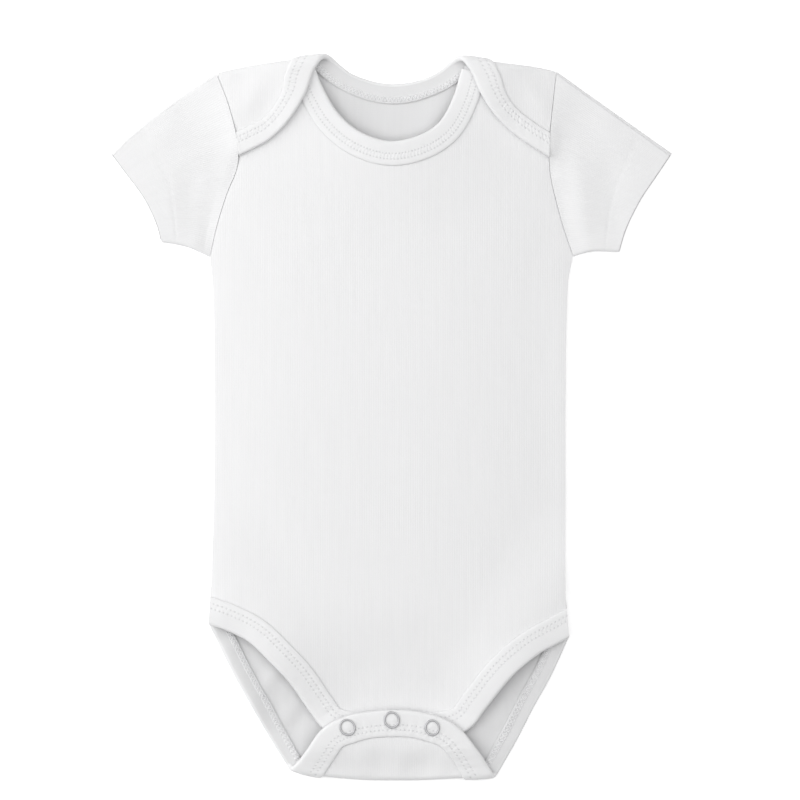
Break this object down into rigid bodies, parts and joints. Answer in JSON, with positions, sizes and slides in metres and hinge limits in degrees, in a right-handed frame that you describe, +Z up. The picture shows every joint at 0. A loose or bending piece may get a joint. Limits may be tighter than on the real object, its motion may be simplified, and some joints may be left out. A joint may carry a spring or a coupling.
{
  "type": "baby bodysuit",
  "caption": "Short-sleeved infant bodysuit with lapped shoulders, bound neck and legs and a snapped crotch flap, laid flat on its back.",
  "frame": {"origin": "middle of the laid garment's box, on the surface it lies on", "axes": "+X towards the sleeve that is on the right seen from above, +Y from crotch to neck, +Z up, out of the front"},
  "size_m": [0.334, 0.4339, 0.0128],
  "materials": {
    "body_cloth": "white cotton interlock jersey, matt with a faint wale",
    "binding_cloth": "white cotton rib binding, matt, coverstitched",
    "snap_metal": "plated open-ring snap, bright satin"
  },
  "bodies": {
    "root": {"back_panel": "body_cloth", "front_panel": "body_cloth", "sleeve_left": "body_cloth", "sleeve_right": "body_cloth", "front_neck_binding": "binding_cloth", "back_neck_binding": "binding_cloth", "front_leg_binding": "binding_cloth", "back_leg_binding": "binding_cloth", "snap_ring_left": "snap_metal", "snap_socket_left": "snap_metal", "snap_stud_left": "snap_metal", "snap_ring_middle": "snap_metal", "snap_socket_middle": "snap_metal", "snap_stud_middle": "snap_metal", "snap_ring_right": "snap_metal", "snap_socket_right": "snap_metal", "snap_stud_right": "snap_metal"}
  },
  "joints": []
}
